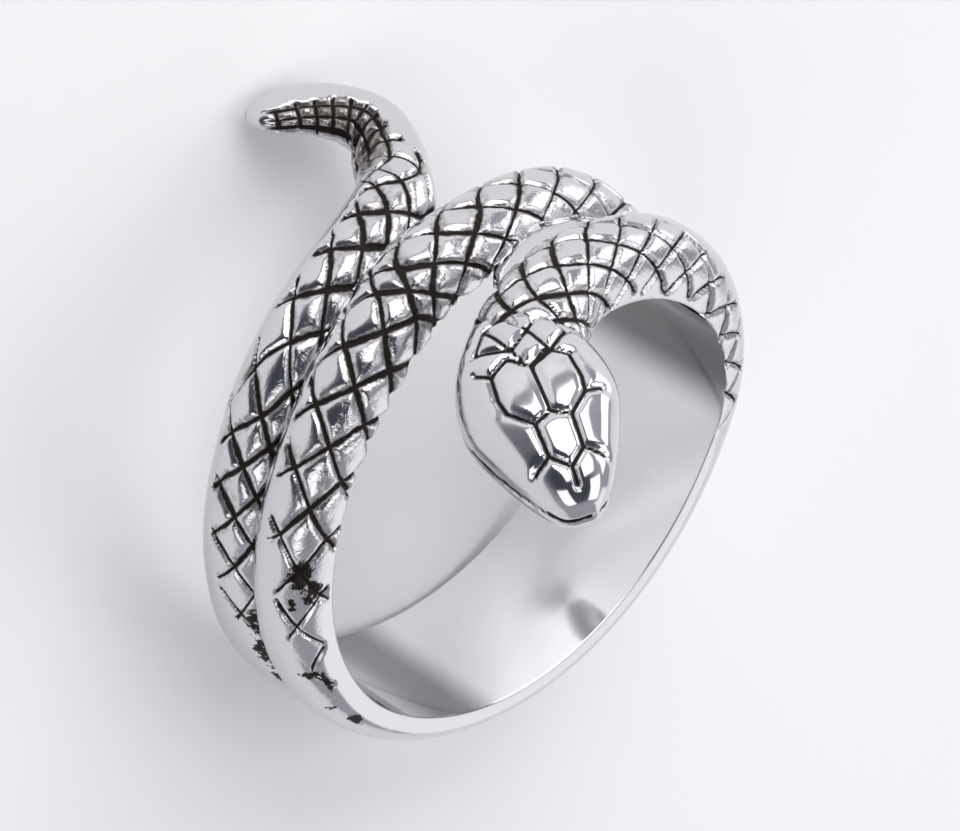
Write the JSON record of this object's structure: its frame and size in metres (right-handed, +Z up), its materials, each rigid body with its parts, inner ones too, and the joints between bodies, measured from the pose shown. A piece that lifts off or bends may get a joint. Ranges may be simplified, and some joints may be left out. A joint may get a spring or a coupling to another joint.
{
  "type": "snake ring",
  "caption": "Polished cast silver snake coiled round a finger, with carved scales, a plated head above, a curling tail below and a smooth shank. Lies on its side.",
  "frame": {"origin": "On the finger axis, at the middle of the band's width", "axes": "+Z is up from the surface the ring lies on. The finger axis leans 20.3 degrees from +Z towards 316 degrees from +X, because the tail holds one side up."},
  "size_m": [0.0213, 0.0221, 0.02],
  "materials": {
    "silver": "polished, with darkened grooves"
  },
  "bodies": {
    "root": {"snake_ring": "silver"}
  },
  "joints": []
}
